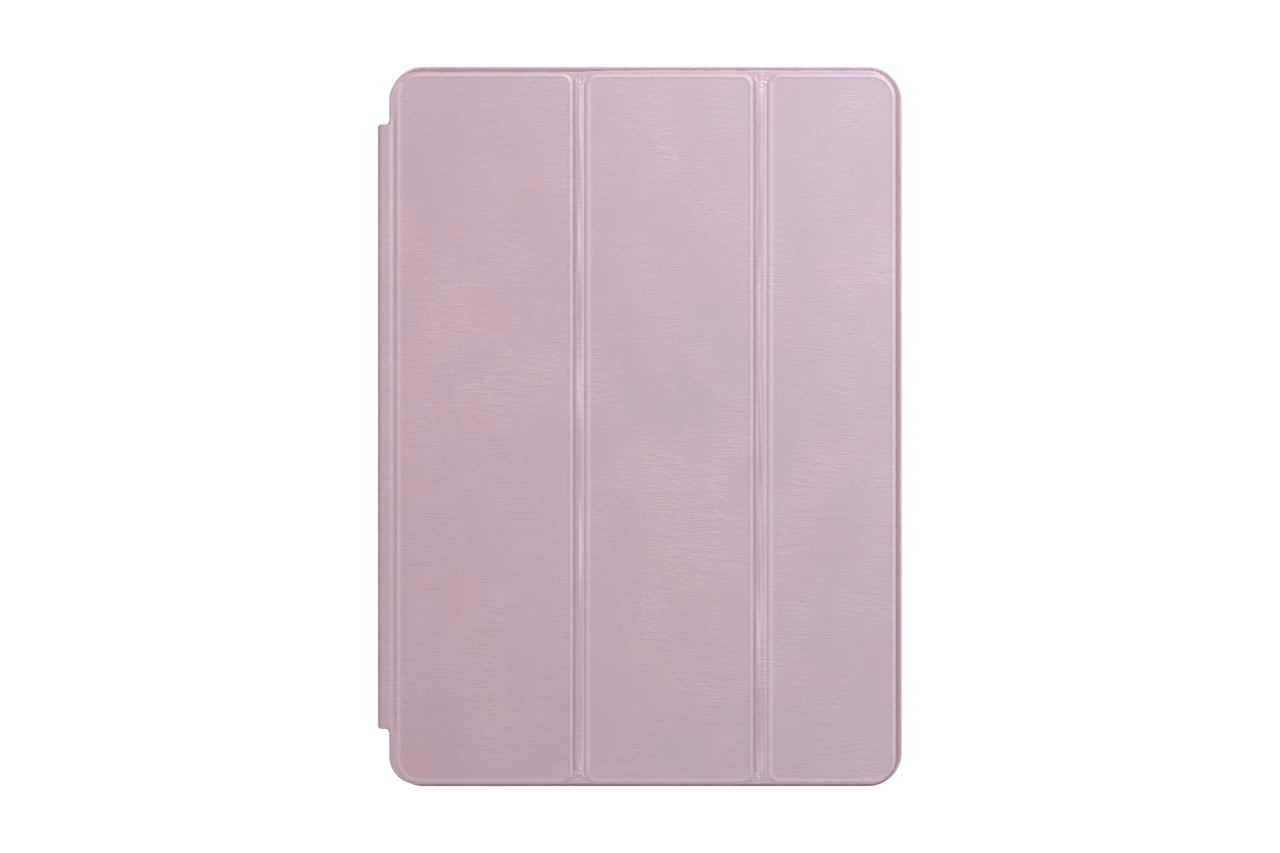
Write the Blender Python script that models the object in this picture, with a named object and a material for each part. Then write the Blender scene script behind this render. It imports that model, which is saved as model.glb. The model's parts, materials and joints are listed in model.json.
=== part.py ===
"""Folio case for a 9.7-inch-class tablet, closed and lying on its back.

X runs across the case with the spine at -X, Y runs up it and Z goes through it, from the back at
z = 0 to the face of the cover. The origin is under the middle of the closed case.

The shell is a moulded tray inside a leather skin. The tray is kept as a floor, four straight walls
and four corners, and its skin as a sheet on the back and a band round the walls. The cover is
three stiff panels and two crease strips, and the spine joins it to the shell. Every fold turns
about a line parallel to Y.
"""

import math

import bmesh
import bpy
from mathutils import Matrix, Vector

MM = 0.001

# The tablet that the tray holds.
TABLET_WIDTH = 169.5 * MM
TABLET_HEIGHT = 240.0 * MM
TABLET_THICKNESS = 6.1 * MM

# Clearances.
GAP = 0.3 * MM  # between neighbouring pieces
FIT = 0.3 * MM  # between the tablet and each wall
SLACK = 0.1 * MM  # between the tablet's face and the lip

# Sheet thicknesses.
LEATHER = 0.6 * MM
TRAY_WALL = 1.2 * MM
TRAY_LINING = 0.4 * MM
COVER_LINING = 0.5 * MM
BOARD = 0.7 * MM
LIP = 0.9 * MM
HEM_THICKNESS = 0.9 * MM  # leather turned under itself

# Shell, seen from the front.
SHELL_WALL = TRAY_WALL + GAP + LEATHER
SHELL_WIDTH = TABLET_WIDTH + 2 * (FIT + SHELL_WALL)
SHELL_HEIGHT = TABLET_HEIGHT + 2 * (FIT + SHELL_WALL)
SHELL_RADIUS = 11.5 * MM
BACK_ROUND = 2.0 * MM
LIP_OVERHANG = 1.0 * MM
LINING_MARGIN = 0.8 * MM  # from the tray's wall to its lining
RIM_BREAK = 0.2 * MM  # the leather's rounded front edge

# Heights through the shell.
TRAY_LOW = LEATHER + GAP
FLOOR_TOP = TRAY_LOW + TRAY_WALL
WALL_LOW = FLOOR_TOP + GAP
LINING_LOW = FLOOR_TOP + GAP
SEAT = LINING_LOW + TRAY_LINING
LIP_LOW = SEAT + TABLET_THICKNESS + SLACK
SHELL_TOP = LIP_LOW + LIP

# Heights through the cover.
COVER_LOW = SHELL_TOP + GAP
LINING_TOP = COVER_LOW + COVER_LINING
BOARD_LOW = LINING_TOP + GAP
BOARD_TOP = BOARD_LOW + BOARD
FACE_LOW = BOARD_TOP + GAP
FACE_TOP = FACE_LOW + LEATHER
HEM_TOP = BOARD_LOW + HEM_THICKNESS
RAISE = FACE_TOP - HEM_TOP

# Cover, measured across from the shell's spine side.
PANEL_SPANS = ((2.7 * MM, 61.6 * MM), (67.2 * MM, 122.9 * MM), (129.2 * MM, 171.1 * MM))
HEM = 1.0 * MM
COVER_TOP_INSET = 1.9 * MM
COVER_BOTTOM_INSET = 1.3 * MM
PANEL_OUTER_RADIUS = 8.0 * MM
PANEL_INNER_RADIUS = 3.7 * MM
SPINE_CORNER_RADIUS = 9.6 * MM
STRIP_RADIUS = 0.4 * MM
FACE_BEVEL = 0.35 * MM
LINING_INSET = 0.8 * MM

# Spine.
SPINE_PROUD = 3.9 * MM
SPINE_MARGIN = 19.7 * MM
SPINE_LINING = 0.5 * MM
SPINE_OVERLAP = 2.4 * MM  # how far a spine flap runs into the sheet that it belongs to
FLAP_RADIUS = 0.8 * MM
HINGE_OFFSET = (RAISE + GAP) / 2  # from the leather to the line that it folds about
FOLD_LIFT = 0.1 * MM

# Openings in the shell.
SLOT_HEIGHT = 5.0 * MM
SLOT_MIDDLE = (SEAT + LIP_LOW) / 2
SLOT_RADIUS = 2.0 * MM
PORT_WIDTH = 14.0 * MM
SPEAKER_WIDTH = 22.0 * MM
SPEAKER_OFFSET = 34.0 * MM
HEADPHONE_WIDTH = 9.0 * MM
HEADPHONE_INSET = 20.0 * MM
POWER_WIDTH = 17.0 * MM
POWER_INSET = 24.0 * MM
VOLUME_LENGTH = 27.0 * MM
VOLUME_INSET = 46.0 * MM
CAMERA_DIAMETER = 13.0 * MM
CAMERA_INSET = 15.0 * MM

# Hardware sealed in the cover.
STEEL_WIDTH = 8.0 * MM
STEEL_LENGTH = 190.0 * MM
STEEL_START = 6.5 * MM
MAGNET_COUNT = 8
MAGNET_WIDTH = 4.0 * MM
MAGNET_LENGTH = 10.0 * MM
MAGNET_EDGE = 4.6 * MM  # from the last panel's raised edge to the magnets
MAGNET_SPAN = 189.0 * MM
WAKE_DIAMETER = 8.0 * MM
WAKE_EDGE = 14.0 * MM

ARC_STEPS = 8
SMOOTH_ANGLE = math.radians(35)

COLOURS = {
    "leather": ((0.52, 0.36, 0.42), 0.42, 0.0),
    "lining": ((0.60, 0.50, 0.53), 0.95, 0.0),
    "polycarbonate": ((0.50, 0.36, 0.41), 0.45, 0.0),
    "board": ((0.42, 0.38, 0.33), 0.85, 0.0),
    "steel": ((0.55, 0.55, 0.56), 0.35, 1.0),
    "nickel": ((0.62, 0.60, 0.57), 0.25, 1.0),
}


def across(distance):
    """The X of a place measured from the shell's spine side."""
    return distance - (SHELL_WIDTH - SPINE_PROUD) / 2


def up(distance):
    """The Y of a place measured from the shell's bottom edge."""
    return distance - SHELL_HEIGHT / 2


def clear_scene():
    for old in list(bpy.data.objects):
        bpy.data.objects.remove(old)


def finish_for(kind):
    """The material of this kind, made once."""
    known = bpy.data.materials.get(kind)
    if known:
        return known
    colour, roughness, metallic = COLOURS[kind]
    made = bpy.data.materials.new(kind)
    made.use_nodes = True
    shader = made.node_tree.nodes["Principled BSDF"]
    shader.inputs["Base Color"].default_value = (*colour, 1.0)
    shader.inputs["Roughness"].default_value = roughness
    shader.inputs["Metallic"].default_value = metallic
    return made


class Outline:
    """A rectangle with a radius at each corner: low-low, high-low, high-high, low-high."""

    def __init__(self, low, high, radii):
        self.low = Vector(low)
        self.high = Vector(high)
        self.radii = radii if isinstance(radii, tuple) else (radii,) * 4

    def inset(self, by):
        step = Vector((by, by))
        smallest = FLAP_RADIUS / 8
        radii = tuple(max(radius - by, smallest) for radius in self.radii)
        return Outline(self.low + step, self.high - step, radii)

    def points(self):
        corners = (
            (self.low.x, self.low.y, 1, 1, 180),
            (self.high.x, self.low.y, -1, 1, 270),
            (self.high.x, self.high.y, -1, -1, 0),
            (self.low.x, self.high.y, 1, -1, 90),
        )
        found = []
        for (x, y, side_x, side_y, start), radius in zip(corners, self.radii):
            for step in range(ARC_STEPS + 1):
                angle = math.radians(start + 90 * step / ARC_STEPS)
                found.append(
                    (
                        x + side_x * radius + radius * math.cos(angle),
                        y + side_y * radius + radius * math.sin(angle),
                    )
                )
        return found


def flat(a, b, height):
    """Outlines drawn in X and Y, stacked up Z."""
    return (a, b, height)


def facing_side(a, b, height):
    """Outlines drawn in Y and Z, stacked along X."""
    return (height, a, b)


def facing_end(a, b, height):
    """Outlines drawn in X and Z, stacked along Y."""
    return (a, height, b)


def solid(name, loops, kind, pivot=None, closed=False):
    """A closed solid through loops of points, capped at both ends unless the loops join up."""
    mesh = bpy.data.meshes.new(name)
    shape = bmesh.new()
    rings = [[shape.verts.new(point) for point in loop] for loop in loops]
    pairs = list(zip(rings, rings[1:]))
    if closed:
        pairs.append((rings[-1], rings[0]))
    else:
        shape.faces.new(list(reversed(rings[0])))
        shape.faces.new(rings[-1])
    for lower, upper in pairs:
        for index in range(len(lower)):
            after = (index + 1) % len(lower)
            shape.faces.new((lower[index], lower[after], upper[after], upper[index]))
    bmesh.ops.recalc_face_normals(shape, faces=shape.faces)
    shape.to_mesh(mesh)
    shape.free()
    mesh.shade_smooth()
    mesh.set_sharp_from_angle(angle=SMOOTH_ANGLE)
    mesh.materials.append(finish_for(kind))
    made = bpy.data.objects.new(name, mesh)
    bpy.context.collection.objects.link(made)
    if pivot:
        made.parent = pivot
        made.matrix_parent_inverse = Matrix.Translation(-pivot_of(pivot))
    return made


def loft(name, rings, kind, pivot=None, place=flat):
    """A solid through a stack of (outline, height) rings."""
    loops = []
    for outline, height in rings:
        loops.append([place(a, b, height) for a, b in outline.points()])
    return solid(name, loops, kind, pivot)


def sweep(name, profile, stations, kind, closed=False):
    """A solid along stations, with a profile of (depth inwards, height) at each."""
    loops = []
    for place, inward in stations:
        loops.append([(*(place + depth * inward), height) for depth, height in profile])
    return solid(name, loops, kind, closed=closed)


def plate(name, outline, low, high, kind, pivot=None, place=flat):
    return loft(name, ((outline, low), (outline, high)), kind, pivot, place)


def combine(target, tool, operation):
    """Cuts or joins with a helper shape, which isn't part of the case."""
    tool.hide_render = True
    tool.display_type = "WIRE"
    step = target.modifiers.new(tool.name, "BOOLEAN")
    step.operation = operation
    step.object = tool
    step.solver = "EXACT"


def fold_axis(name, x, z, parent=None):
    """An empty on a fold line, which carries everything beyond the fold."""
    empty = bpy.data.objects.new(name, None)
    bpy.context.collection.objects.link(empty)
    place = Vector((x, 0.0, z))
    empty["axis_at"] = place
    empty.location = place
    if parent:
        empty.parent = parent
        empty.location = place - Vector(parent["axis_at"])
    return empty


def pivot_of(empty):
    return Vector(empty["axis_at"])


def shell_outline(inset=0.0):
    whole = Outline(
        (across(0.0), up(0.0)),
        (across(SHELL_WIDTH), up(SHELL_HEIGHT)),
        SHELL_RADIUS,
    )
    return whole.inset(inset)


def corner_stations(corner):
    """Places round a corner of the shell's outer edge, each with its way inwards."""
    outline = shell_outline()
    low = outline.low + Vector((SHELL_RADIUS, SHELL_RADIUS))
    high = outline.high - Vector((SHELL_RADIUS, SHELL_RADIUS))
    centre = (low, Vector((high.x, low.y)), high, Vector((low.x, high.y)))[corner]
    found = []
    for step in range(ARC_STEPS + 1):
        angle = math.radians(180 + 90 * corner + 90 * step / ARC_STEPS)
        outward = Vector((math.cos(angle), math.sin(angle)))
        found.append((centre + SHELL_RADIUS * outward, -outward))
    return found


def wall_stations(corner):
    """The ends of the straight wall that follows a corner, clear of both its corners."""
    start, inward = corner_stations(corner)[-1]
    end = corner_stations((corner + 1) % 4)[0][0]
    clear = GAP * (end - start).normalized()
    return [(start + clear, inward), (end - clear, inward)]


def back_arc(radius, low, high, steps=4):
    """(inset, height) places round the shell's back edge, from one height to another."""
    start = math.acos((BACK_ROUND - low) / radius)
    end = math.acos((BACK_ROUND - high) / radius)
    found = []
    for step in range(steps + 1):
        angle = start + (end - start) * step / steps
        found.append((BACK_ROUND - radius * math.sin(angle), BACK_ROUND - radius * math.cos(angle)))
    return found


def spine_flap(name, low, high, kind):
    """A flap as long as the spine, from its outer face to under or over the shell."""
    outline = Outline(
        (across(-SPINE_PROUD), up(SPINE_MARGIN)),
        (across(SPINE_OVERLAP), up(SHELL_HEIGHT - SPINE_MARGIN)),
        (FLAP_RADIUS / 8, FLAP_RADIUS, FLAP_RADIUS, FLAP_RADIUS / 8),
    )
    return plate(name, outline, low, high, kind)


def end_slot(name, centre, width, edge):
    """A helper shape for a slot through the wall at one end of the shell."""
    outline = Outline(
        (across(centre - width / 2), SLOT_MIDDLE - SLOT_HEIGHT / 2),
        (across(centre + width / 2), SLOT_MIDDLE + SLOT_HEIGHT / 2),
        SLOT_RADIUS,
    )
    reach = SHELL_RADIUS / 2
    return plate(name, outline, up(edge) - reach, up(edge) + reach, "board", place=facing_end)


def slot_tools():
    """Helper shapes for the slots, by the wall of the tray that each one goes through."""
    middle = SHELL_WIDTH / 2
    low_side = middle - SPEAKER_OFFSET
    high_side = middle + SPEAKER_OFFSET
    power = SHELL_WIDTH - POWER_INSET
    volume = up(SHELL_HEIGHT - VOLUME_INSET)
    outline = Outline(
        (volume - VOLUME_LENGTH / 2, SLOT_MIDDLE - SLOT_HEIGHT / 2),
        (volume + VOLUME_LENGTH / 2, SLOT_MIDDLE + SLOT_HEIGHT / 2),
        SLOT_RADIUS,
    )
    side = across(SHELL_WIDTH)
    reach = SHELL_RADIUS / 2
    return {
        "bottom": (
            end_slot("port_slot", middle, PORT_WIDTH, 0.0),
            end_slot("speaker_slot_left", low_side, SPEAKER_WIDTH, 0.0),
            end_slot("speaker_slot_right", high_side, SPEAKER_WIDTH, 0.0),
        ),
        "free": (
            plate("volume_slot", outline, side - reach, side + reach, "board", place=facing_side),
        ),
        "top": (
            end_slot("headphone_slot", HEADPHONE_INSET, HEADPHONE_WIDTH, SHELL_HEIGHT),
            end_slot("power_slot", power, POWER_WIDTH, SHELL_HEIGHT),
        ),
        "spine": (),
    }


def camera_tool():
    centre = Vector((across(SHELL_WIDTH - CAMERA_INSET), up(SHELL_HEIGHT - CAMERA_INSET)))
    radius = CAMERA_DIAMETER / 2
    reach = Vector((radius, radius))
    return plate(
        "camera_opening", Outline(centre - reach, centre + reach, radius), -SEAT, SEAT + GAP, "board"
    )


def build_tray():
    """One moulding, kept as its floor, its straight walls and its corners."""
    floor_rings = []
    for inset, height in back_arc(BACK_ROUND - TRAY_LOW, TRAY_LOW, BACK_ROUND):
        floor_rings.append((shell_outline(inset), height))
    floor_rings.append((shell_outline(TRAY_LOW), FLOOR_TOP))
    floor = loft("tray_floor", floor_rings, "polycarbonate")
    wall_profile = (
        (LEATHER + GAP, WALL_LOW),
        (SHELL_WALL, WALL_LOW),
        (SHELL_WALL, LIP_LOW),
        (SHELL_WALL + LIP_OVERHANG, LIP_LOW),
        (SHELL_WALL + LIP_OVERHANG, SHELL_TOP),
        (LEATHER + GAP, SHELL_TOP),
    )
    walls = {}
    for corner, side in enumerate(("bottom", "free", "top", "spine")):
        stations = wall_stations(corner)
        walls[side] = sweep(f"tray_wall_{side}", wall_profile, stations, "polycarbonate")
        stations = corner_stations(corner)
        sweep(f"tray_corner_{corner + 1}", wall_profile, stations, "polycarbonate")
    return floor, walls


def build_shell_leather():
    """One skin, kept as the sheet on the back and the band round the walls."""
    sheet_rings = []
    for inset, height in back_arc(BACK_ROUND, 0.0, LEATHER):
        sheet_rings.append((shell_outline(inset), height))
    sheet = loft("shell_leather_back", sheet_rings, "leather")
    combine(sheet, spine_flap("back_flap", 0.0, LEATHER, "leather"), "UNION")
    band_profile = (
        *back_arc(BACK_ROUND, TRAY_LOW, BACK_ROUND),
        (0.0, SHELL_TOP - RIM_BREAK),
        (RIM_BREAK, SHELL_TOP),
        (LEATHER, SHELL_TOP),
        *reversed(back_arc(BACK_ROUND - LEATHER, TRAY_LOW, BACK_ROUND)),
    )
    stations = []
    for corner in range(4):
        stations += corner_stations(corner)
    band = sweep("shell_leather_band", band_profile, stations, "leather", closed=True)
    return sheet, band


def build_shell():
    floor, walls = build_tray()
    sheet, band = build_shell_leather()
    lining_outline = shell_outline(SHELL_WALL + LINING_MARGIN)
    lining = plate("tray_lining", lining_outline, LINING_LOW, SEAT, "lining")
    for side, tools in slot_tools().items():
        for tool in tools:
            combine(walls[side], tool, "DIFFERENCE")
            combine(band, tool, "DIFFERENCE")
    camera = camera_tool()
    for piece in (sheet, floor, lining):
        combine(piece, camera, "DIFFERENCE")


def build_spine(pivot):
    """The narrow wall between the back flap and the cover, a board wrapped in leather."""
    whole = Outline(
        (up(SPINE_MARGIN), TRAY_LOW),
        (up(SHELL_HEIGHT - SPINE_MARGIN), SHELL_TOP),
        FLAP_RADIUS,
    )
    outer = across(-SPINE_PROUD)
    lining_outer = across(-GAP) - SPINE_LINING
    board_outer = lining_outer - GAP
    skin_rings = (
        (whole.inset(FACE_BEVEL), outer),
        (whole, outer + FACE_BEVEL),
        (whole, board_outer),
        (whole.inset(LEATHER), board_outer),
        (whole.inset(LEATHER), outer + LEATHER),
    )
    loft("spine_leather", skin_rings, "leather", pivot, facing_side)
    board = whole.inset(LEATHER + GAP)
    plate("spine_board", board, outer + LEATHER + GAP, board_outer, "board", pivot, facing_side)
    lining = whole.inset(GAP)
    plate("spine_lining", lining, lining_outer, across(-GAP), "lining", pivot, facing_side)


def raised_outline(index):
    """Where a panel's board lifts the leather."""
    start, end = PANEL_SPANS[index]
    left = PANEL_OUTER_RADIUS if index == 0 else PANEL_INNER_RADIUS
    right = PANEL_OUTER_RADIUS if index == len(PANEL_SPANS) - 1 else PANEL_INNER_RADIUS
    return Outline(
        (across(start), up(COVER_BOTTOM_INSET + HEM)),
        (across(end), up(SHELL_HEIGHT - COVER_TOP_INSET - HEM)),
        (left, right, right, left),
    )


def hem_outline(index):
    """The whole of a panel's leather, with the hem round its board."""
    start, end = PANEL_SPANS[index]
    first = index == 0
    last = index == len(PANEL_SPANS) - 1
    low_x = 0.0 if first else start - HEM + GAP / 2
    high_x = end + HEM if last else end + HEM - GAP / 2
    left = SPINE_CORNER_RADIUS if first else STRIP_RADIUS
    right = PANEL_OUTER_RADIUS + HEM if last else STRIP_RADIUS
    return Outline(
        (across(low_x), up(COVER_BOTTOM_INSET)),
        (across(high_x), up(SHELL_HEIGHT - COVER_TOP_INSET)),
        (left, right, right, left),
    )


def build_panel(index, pivot):
    """Leather pulled over a board, closed behind by the lining."""
    name = f"panel_{index + 1}"
    raised = raised_outline(index)
    hem = hem_outline(index)
    pocket = raised.inset(LEATHER)
    rings = (
        (raised.inset(FACE_BEVEL), FACE_TOP),
        (raised, FACE_TOP - FACE_BEVEL),
        (raised, HEM_TOP),
        (hem, HEM_TOP),
        (hem, BOARD_LOW),
        (pocket, BOARD_LOW),
        (pocket, FACE_LOW),
    )
    skin = loft(f"{name}_leather", rings, "leather", pivot)
    board = plate(
        f"{name}_board", raised.inset(LEATHER + GAP), BOARD_LOW, BOARD_TOP, "board", pivot
    )
    lining_sheet = Outline(hem.low, hem.high, hem.radii)
    lining_sheet.low.y += LINING_INSET
    lining_sheet.high.y -= LINING_INSET
    if index == len(PANEL_SPANS) - 1:
        lining_sheet.high.x -= LINING_INSET
    lining = plate(f"{name}_lining", lining_sheet, COVER_LOW, LINING_TOP, "lining", pivot)
    if index == 0:
        combine(skin, spine_flap("cover_flap", BOARD_LOW, HEM_TOP, "leather"), "UNION")
        combine(lining, spine_flap("lining_flap", COVER_LOW, LINING_TOP, "lining"), "UNION")
    return board


def build_crease(index, pivot):
    """The soft strip between two panels, leather over lining."""
    low_x = across(PANEL_SPANS[index][1] + HEM + GAP / 2)
    high_x = across(PANEL_SPANS[index + 1][0] - HEM - GAP / 2)
    low_y = up(COVER_BOTTOM_INSET)
    high_y = up(SHELL_HEIGHT - COVER_TOP_INSET)
    name = f"crease_{index + 1}"
    skin = Outline((low_x, low_y), (high_x, high_y), STRIP_RADIUS)
    plate(f"{name}_leather", skin, BOARD_LOW, HEM_TOP, "leather", pivot)
    lining = Outline(
        (low_x, low_y + LINING_INSET), (high_x, high_y - LINING_INSET), STRIP_RADIUS
    )
    plate(f"{name}_lining", lining, COVER_LOW, LINING_TOP, "lining", pivot)


def set_in_board(name, outline, kind, board, pivot):
    """A piece of hardware in a window cut through a panel's board."""
    plate(name, outline, BOARD_LOW, BOARD_TOP, kind, pivot)
    window = outline.inset(-GAP)
    tool = plate(f"{name}_window", window, BOARD_LOW - GAP, BOARD_TOP + GAP, kind)
    combine(board, tool, "DIFFERENCE")


def build_hardware(first_board, last_board, first_pivot, last_pivot):
    middle_y = up(SHELL_HEIGHT / 2)
    steel = Outline(
        (across(STEEL_START), middle_y - STEEL_LENGTH / 2),
        (across(STEEL_START + STEEL_WIDTH), middle_y + STEEL_LENGTH / 2),
        FLAP_RADIUS,
    )
    set_in_board("stand_steel_strip", steel, "steel", first_board, first_pivot)
    edge = PANEL_SPANS[-1][1]
    for index in range(MAGNET_COUNT):
        centre = middle_y + MAGNET_SPAN * (index / (MAGNET_COUNT - 1) - 0.5)
        high_x = across(edge - MAGNET_EDGE)
        magnet = Outline(
            (high_x - MAGNET_WIDTH, centre - MAGNET_LENGTH / 2),
            (high_x, centre + MAGNET_LENGTH / 2),
            FLAP_RADIUS / 2,
        )
        set_in_board(f"latch_magnet_{index + 1}", magnet, "nickel", last_board, last_pivot)
    wake_x = across(edge - WAKE_EDGE)
    radius = WAKE_DIAMETER / 2
    wake = Outline(
        (wake_x - radius, middle_y - radius), (wake_x + radius, middle_y + radius), radius
    )
    set_in_board("wake_magnet", wake, "nickel", last_board, last_pivot)


def build_case():
    clear_scene()
    outer = across(-SPINE_PROUD) - HINGE_OFFSET
    back_fold = fold_axis("back_fold", outer, -HINGE_OFFSET)
    front_fold = fold_axis("front_fold", outer, HEM_TOP + HINGE_OFFSET, back_fold)
    carrier = front_fold
    build_shell()
    build_spine(back_fold)
    boards = [build_panel(0, carrier)]
    for index in range(len(PANEL_SPANS) - 1):
        near = across(PANEL_SPANS[index][1] + HEM)
        far = across(PANEL_SPANS[index + 1][0] - HEM)
        lift = HEM_TOP + FOLD_LIFT
        strip_fold = fold_axis(f"crease_{index + 1}_near_fold", near, lift, carrier)
        build_crease(index, strip_fold)
        carrier = fold_axis(f"crease_{index + 1}_far_fold", far, lift, strip_fold)
        boards.append(build_panel(index + 1, carrier))
    build_hardware(boards[0], boards[-1], front_fold, carrier)


build_case()
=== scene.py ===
import json
import math

import bmesh
import bpy
import numpy as np
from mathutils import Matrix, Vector, noise


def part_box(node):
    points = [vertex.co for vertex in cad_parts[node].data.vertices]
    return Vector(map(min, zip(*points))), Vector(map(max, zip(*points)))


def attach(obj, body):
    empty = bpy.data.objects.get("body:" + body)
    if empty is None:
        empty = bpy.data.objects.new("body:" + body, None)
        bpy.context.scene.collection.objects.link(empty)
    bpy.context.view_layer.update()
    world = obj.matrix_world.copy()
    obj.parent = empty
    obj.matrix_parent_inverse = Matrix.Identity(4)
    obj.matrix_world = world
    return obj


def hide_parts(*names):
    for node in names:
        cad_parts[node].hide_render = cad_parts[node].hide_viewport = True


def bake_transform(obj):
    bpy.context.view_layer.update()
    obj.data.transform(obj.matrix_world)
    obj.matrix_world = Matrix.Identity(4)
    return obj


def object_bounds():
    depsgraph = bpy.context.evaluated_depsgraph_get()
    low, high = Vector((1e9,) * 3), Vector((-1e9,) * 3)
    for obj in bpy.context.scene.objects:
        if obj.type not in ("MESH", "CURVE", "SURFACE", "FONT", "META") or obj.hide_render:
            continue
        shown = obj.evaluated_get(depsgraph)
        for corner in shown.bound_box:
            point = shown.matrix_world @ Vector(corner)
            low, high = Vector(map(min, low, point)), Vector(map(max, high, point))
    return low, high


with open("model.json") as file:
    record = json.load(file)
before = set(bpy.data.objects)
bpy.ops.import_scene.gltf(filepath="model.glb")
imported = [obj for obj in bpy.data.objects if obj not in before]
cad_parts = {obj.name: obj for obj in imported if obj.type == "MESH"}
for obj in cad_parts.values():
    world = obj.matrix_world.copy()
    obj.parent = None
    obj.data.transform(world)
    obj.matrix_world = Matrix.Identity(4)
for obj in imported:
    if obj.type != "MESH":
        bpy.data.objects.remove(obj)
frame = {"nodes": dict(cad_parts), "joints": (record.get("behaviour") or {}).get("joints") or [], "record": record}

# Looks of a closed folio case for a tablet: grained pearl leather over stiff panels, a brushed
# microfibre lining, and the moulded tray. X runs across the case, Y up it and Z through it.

CAD_LOW, CAD_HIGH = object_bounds()

MM = 0.001

# From a board's edges to the edges of the leather raised over it.
RAISED_LEFT = 1.2 * MM
RAISED_RIGHT = 1.6 * MM
RAISED_BOTTOM = 1.9 * MM
RAISED_TOP = (1.2 * MM, 0.9 * MM, 0.9 * MM)

# The leather's relief, where it leaves the plain shapes of the frame.
SHEET = 0.6 * MM
HEM_ROUND = 0.45 * MM
EDGE_WIDTH = 0.75 * MM
EDGE_BEAD = 0.09 * MM
FOLD_GROOVE = 0.34 * MM
FOLD_GROOVE_WIDTH = 0.36 * MM
FAR_GROOVE_SHARE = 0.45
STRIP_CROWN = 0.12 * MM
STRIP_RIDGE = 0.09 * MM
PUCKER = 0.26 * MM
PUCKER_SIZE = 1.1 * MM
HEM_WAVE = 0.28 * MM
HEM_WAVE_LENGTH = 16.0 * MM
HEM_LOW_OUT = 0.5 * MM
HEM_TOP_OUT = 0.55 * MM
HEM_TOP_OUT_OVER = 12.0 * MM
HEM_EDGE_FADE = 1.2 * MM
SPINE_CROWN = 0.2 * MM
SPINE_GROOVE = 0.2 * MM
SPINE_GROOVE_AT = 1.4 * MM
SPINE_ROUND = 1.3 * MM
SPINE_ROOT = 1.3 * MM
SPINE_TIP = 0.9 * MM

# Corners, seen from the front.
PANEL_OUTER_RADIUS = 8.0 * MM
PANEL_INNER_RADIUS = 3.7 * MM
COVER_FREE_RADIUS = 9.0 * MM
COVER_SPINE_RADIUS = 9.6 * MM
SHELL_RADIUS = 11.5 * MM

# The shell and its tray.
BACK_ROUND = 2.0 * MM
TRAY_WALL = 1.2 * MM
LIP = 0.9 * MM
LIP_OVERHANG = 1.0 * MM
CAMERA_RADIUS = 6.5 * MM
SLOT_HALF_HEIGHT = 2.5 * MM
SLOT_RADIUS = 2.0 * MM
SLOT_MARGIN = 1.0 * MM  # on each end, past the clear width that the record gives

# Spacing of the grid that the sheets are made on.
FINE = 0.2 * MM
COARSE = 4.0 * MM
GROWTH = 0.17


# ---------------------------------------------------------------- places taken from the frame


def box(node):
    """A node's two corners, as arrays."""
    low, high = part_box(node)
    return np.array(low), np.array(high)


PANELS = ("panel_1", "panel_2", "panel_3")
BOARDS = [box(f"{name}_board") for name in PANELS]
RAISED = [
    (low[:2] - (RAISED_LEFT, RAISED_BOTTOM), high[:2] + (RAISED_RIGHT, top))
    for (low, high), top in zip(BOARDS, RAISED_TOP)
]
COVER_LOW_Y = box("panel_2_leather")[0][1] - HEM_LOW_OUT
COVER_HIGH_Y = box("panel_2_leather")[1][1]
COVER_RIGHT = box("panel_3_leather")[1][0]
FACE_TOP = box("panel_2_leather")[1][2]
HEM_TOP = box("crease_1_leather")[1][2]
HEM_UNDER = box("crease_1_leather")[0][2]
RAISE = FACE_TOP - HEM_TOP
LINING_LOW, LINING_HIGH = box("panel_2_lining")
TRAY_NODES = [name for name in frame["nodes"] if name.startswith(("tray_wall", "tray_corner"))]
TRAY_NODES.append("tray_floor")
TRAY_LOW, FLOOR_TOP = box("tray_floor")[0], box("tray_floor")[1][2]
TRAY_HIGH = np.array([*box("tray_floor")[1][:2], box("tray_wall_top")[1][2]])
WRAP = TRAY_LOW[2]  # leather and the gap behind it
SHELL_LEFT, SHELL_RIGHT = TRAY_LOW[0] - WRAP, TRAY_HIGH[0] + WRAP
SHELL_LOW_Y, SHELL_HIGH_Y = TRAY_LOW[1] - WRAP, TRAY_HIGH[1] + WRAP
SHELL_TOP = TRAY_HIGH[2]
SPINE_LOW, SPINE_HIGH = box("spine_leather")
SPINE_LEFT = SPINE_LOW[0]
FOLDS = {joint["name"]: joint["pos_m"][0] for joint in frame["joints"]}
STRIPS = [
    (FOLDS["crease_1_near_fold"], FOLDS["crease_1_far_fold"]),
    (FOLDS["crease_2_near_fold"], FOLDS["crease_2_far_fold"]),
]
MIDDLES = [(low[0] + high[0]) / 2 for low, high in RAISED]
STRIP_MIDDLES = [sum(strip) / 2 for strip in STRIPS]
LINING_RIGHT = box("panel_3_lining")[1][0]


# ---------------------------------------------------------------- shapes


def rounded_distance(x, y, low, high, left_radius, right_radius):
    """How far inside a rounded rectangle each point is."""
    centre, half = (low + high) / 2, (high - low) / 2
    radius = np.where(x < centre[0], left_radius, right_radius)
    ax = np.abs(x - centre[0]) - half[0] + radius
    ay = np.abs(y - centre[1]) - half[1] + radius
    outside = np.hypot(np.maximum(ax, 0), np.maximum(ay, 0))
    return radius - outside - np.minimum(np.maximum(ax, ay), 0)


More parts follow.
